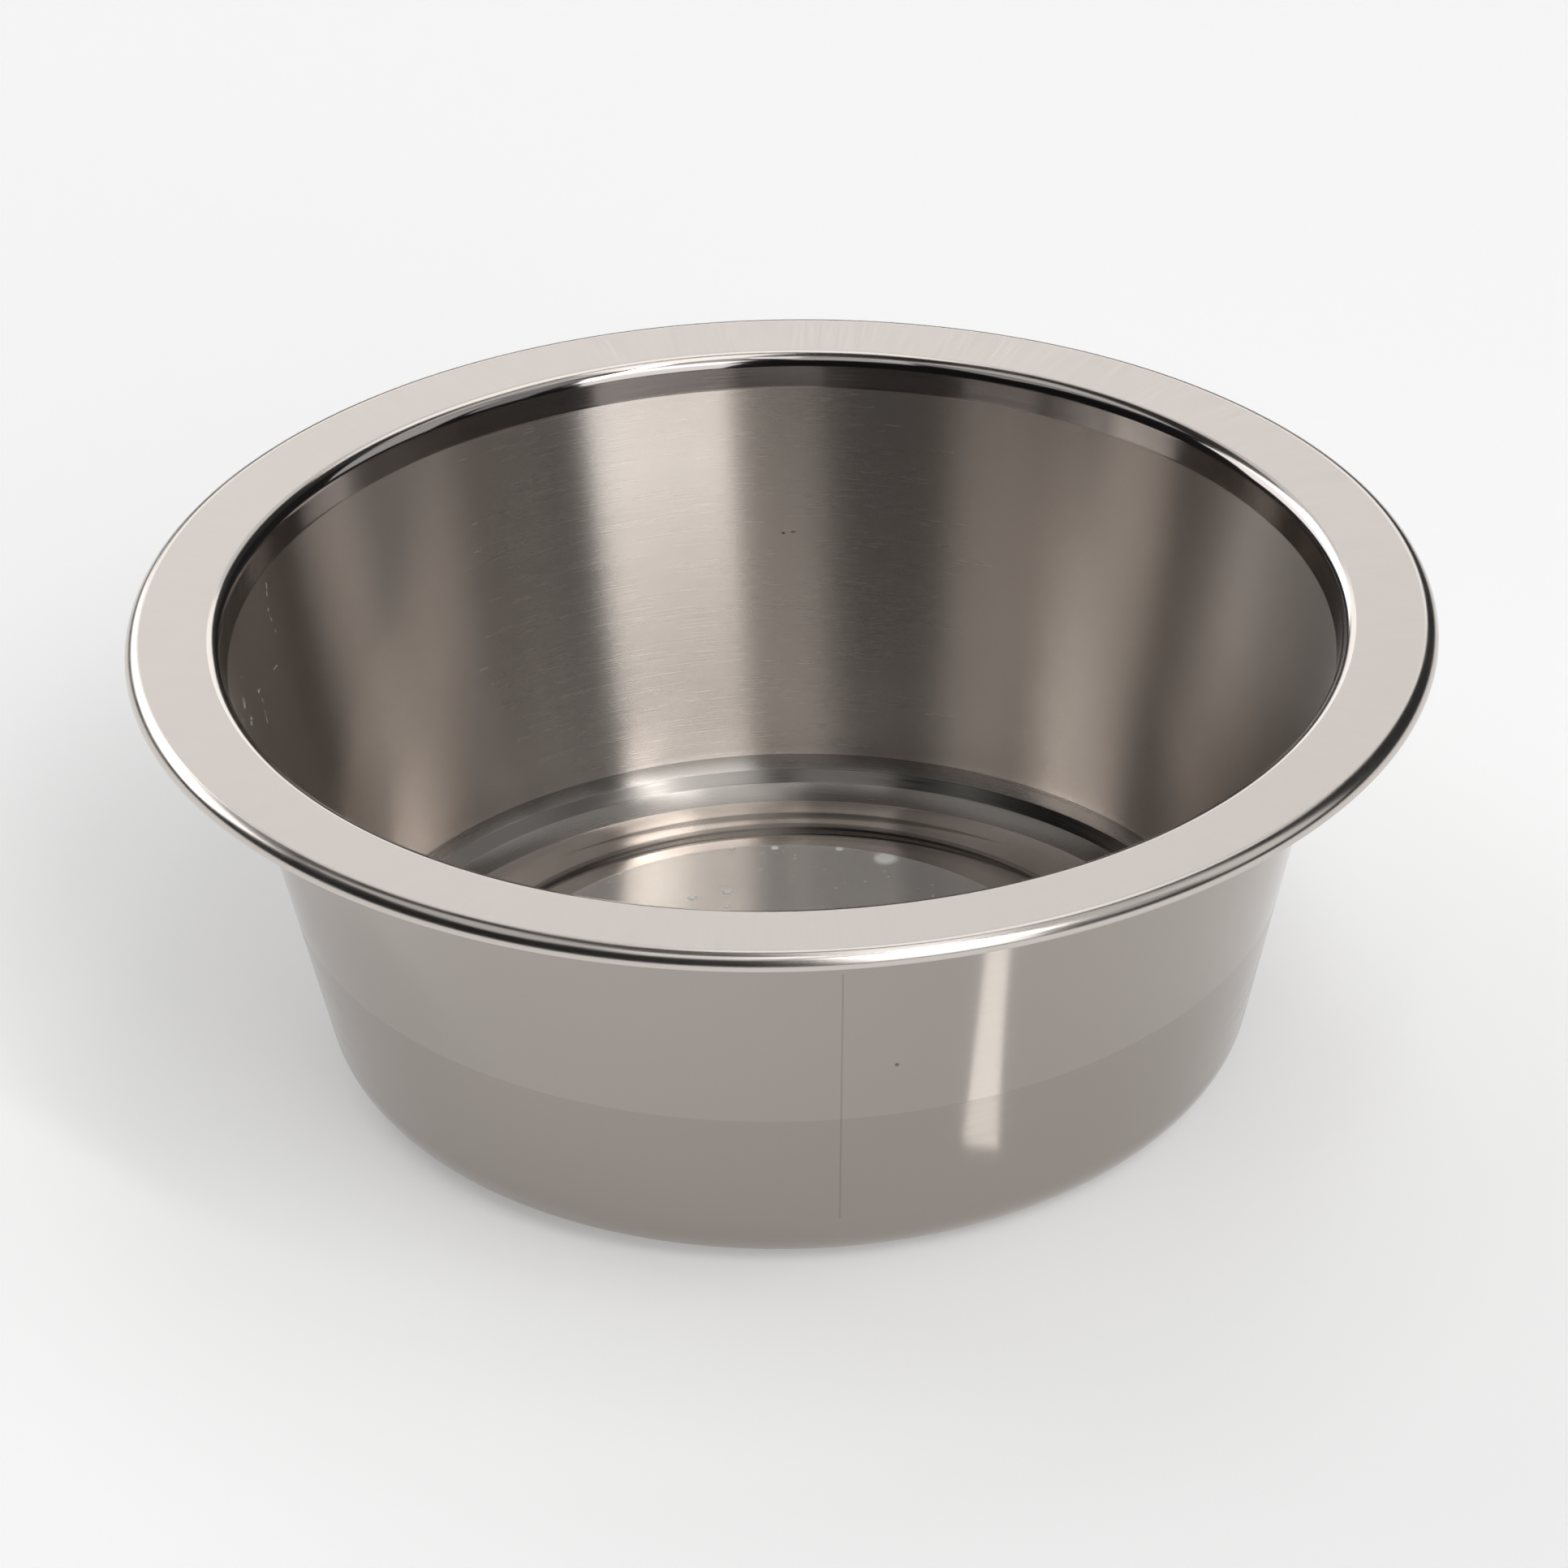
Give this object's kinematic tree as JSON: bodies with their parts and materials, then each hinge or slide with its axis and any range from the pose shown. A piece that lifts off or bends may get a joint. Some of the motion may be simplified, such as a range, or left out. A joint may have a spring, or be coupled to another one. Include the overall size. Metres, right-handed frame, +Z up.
{
  "type": "pet bowl",
  "caption": "Stainless steel pet bowl drawn from one sheet: wide flat flange with a turned-down edge, tapered wall, rounded foot and a clear film label on the floor.",
  "frame": {"origin": "centre of the ring that the bowl stands on", "axes": "+Z up along the bowl's axis of revolution; the picture looks along +Y"},
  "size_m": [0.22, 0.22, 0.08],
  "materials": {
    "brushed_steel": "satin brushed stainless steel, polished at the rim bend and on the floor",
    "clear_film": "clear glossy self-adhesive film"
  },
  "bodies": {
    "root": {"bowl_shell": "brushed_steel", "floor_label": "clear_film"}
  },
  "joints": []
}
